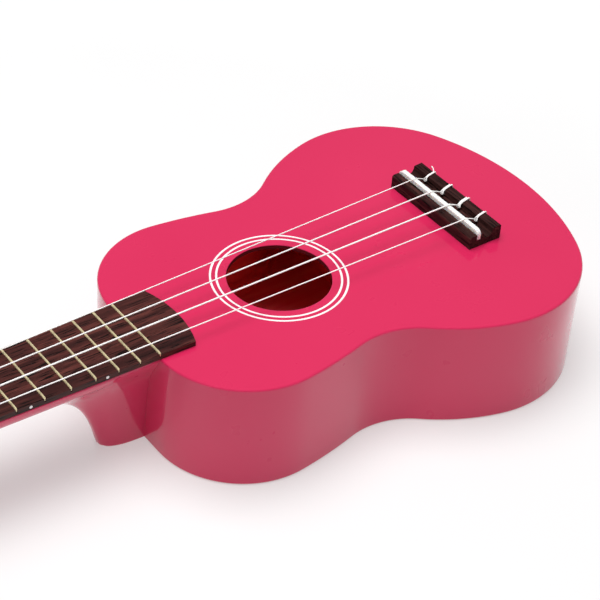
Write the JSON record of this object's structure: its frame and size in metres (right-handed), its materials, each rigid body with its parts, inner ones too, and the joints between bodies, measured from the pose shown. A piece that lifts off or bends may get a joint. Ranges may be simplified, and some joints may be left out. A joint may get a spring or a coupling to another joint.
{
  "type": "ukulele",
  "caption": "Four-string soprano ukulele with a figure-eight sound box, a rosewood fretboard and bridge, and geared tuners that turn their string posts.",
  "frame": {"origin": "on the surface that the instrument's back rests on, under the middle of its whole length and width", "axes": "+X from the headstock to the tail, +Y to the treble side, +Z out of the soundboard"},
  "size_m": [0.525, 0.174, 0.0672],
  "materials": {
    "pink_lacquer": "hot pink high-gloss lacquer over laminated wood",
    "bare_wood": "unfinished sawn wood",
    "rosewood": "satin oiled rosewood with fine pores",
    "dark_rosewood": "satin oiled near-black rosewood",
    "ivory_plastic": "polished ivory-white",
    "white_inlay": "flush glossy white inlay",
    "pearl_plastic": "soft pearly white",
    "fret_wire": "polished pale-gold wire",
    "bright_plating": "bright nickel plating",
    "brass_wheel": "cut brass",
    "nylon": "translucent white nylon"
  },
  "bodies": {
    "instrument": {"soundboard": "pink_lacquer", "back": "pink_lacquer", "rim_bass": "pink_lacquer", "rim_treble": "pink_lacquer", "top_linings": "bare_wood", "back_linings": "bare_wood", "neck_block": "bare_wood", "tail_block": "bare_wood", "upper_top_brace": "bare_wood", "lower_top_brace": "bare_wood", "bridge_plate": "bare_wood", "back_braces": "bare_wood", "rosette_rings": "white_inlay", "bridge": "dark_rosewood", "saddle": "ivory_plastic", "fretboard": "rosewood", "frets": "fret_wire", "nut": "ivory_plastic", "side_dots": "white_inlay", "neck": "pink_lacquer", "headstock": "pink_lacquer", "neck_dowels": "bare_wood", "post_bushes": "bright_plating", "plate_screws": "bright_plating", "string_g": "nylon", "string_c": "nylon", "string_e": "nylon", "string_a": "nylon", "tuner_plate_g": "bright_plating", "tuner_plate_c": "bright_plating", "tuner_plate_e": "bright_plating", "tuner_plate_a": "bright_plating"},
    "knob_g": {"worm_shaft_g": "bright_plating", "tuner_button_g": "pearl_plastic"},
    "post_g": {"string_post_g": "bright_plating", "worm_wheel_g": "brass_wheel", "wheel_screw_g": "bright_plating", "winding_g": "nylon"},
    "knob_c": {"worm_shaft_c": "bright_plating", "tuner_button_c": "pearl_plastic"},
    "post_c": {"string_post_c": "bright_plating", "worm_wheel_c": "brass_wheel", "wheel_screw_c": "bright_plating", "winding_c": "nylon"},
    "knob_e": {"worm_shaft_e": "bright_plating", "tuner_button_e": "pearl_plastic"},
    "post_e": {"string_post_e": "bright_plating", "worm_wheel_e": "brass_wheel", "wheel_screw_e": "bright_plating", "winding_e": "nylon"},
    "knob_a": {"worm_shaft_a": "bright_plating", "tuner_button_a": "pearl_plastic"},
    "post_a": {"string_post_a": "bright_plating", "worm_wheel_a": "brass_wheel", "wheel_screw_a": "bright_plating", "winding_a": "nylon"}
  },
  "joints": [
    {"name": "knob_g_turn", "type": "hinge", "parent": "instrument", "child": "knob_g", "pos_m": [-0.17269, -0.017, 0.03591], "axis": [0, -1, 0], "continuous": true},
    {"name": "post_g_turn", "type": "hinge", "parent": "instrument", "child": "post_g", "pos_m": [-0.18225, -0.017, 0.04952], "axis": [-0.2079, 0, 0.9781], "continuous": true},
    {"name": "knob_c_turn", "type": "hinge", "parent": "instrument", "child": "knob_c", "pos_m": [-0.2128, -0.017, 0.02738], "axis": [0, -1, 0], "continuous": true},
    {"name": "post_c_turn", "type": "hinge", "parent": "instrument", "child": "post_c", "pos_m": [-0.22236, -0.017, 0.04099], "axis": [-0.2079, 0, 0.9781], "continuous": true},
    {"name": "knob_e_turn", "type": "hinge", "parent": "instrument", "child": "knob_e", "pos_m": [-0.2128, 0.017, 0.02738], "axis": [0, 1, 0], "continuous": true},
    {"name": "post_e_turn", "type": "hinge", "parent": "instrument", "child": "post_e", "pos_m": [-0.22236, 0.017, 0.04099], "axis": [-0.2079, 0, 0.9781], "continuous": true},
    {"name": "knob_a_turn", "type": "hinge", "parent": "instrument", "child": "knob_a", "pos_m": [-0.17269, 0.017, 0.03591], "axis": [0, 1, 0], "continuous": true},
    {"name": "post_a_turn", "type": "hinge", "parent": "instrument", "child": "post_a", "pos_m": [-0.18225, 0.017, 0.04952], "axis": [-0.2079, 0, 0.9781], "continuous": true}
  ],
  "couplings": [
    {"joint": "post_g_turn", "follows": "knob_g_turn", "ratio": 0.071429},
    {"joint": "post_c_turn", "follows": "knob_c_turn", "ratio": 0.071429},
    {"joint": "post_e_turn", "follows": "knob_e_turn", "ratio": 0.071429},
    {"joint": "post_a_turn", "follows": "knob_a_turn", "ratio": 0.071429}
  ]
}
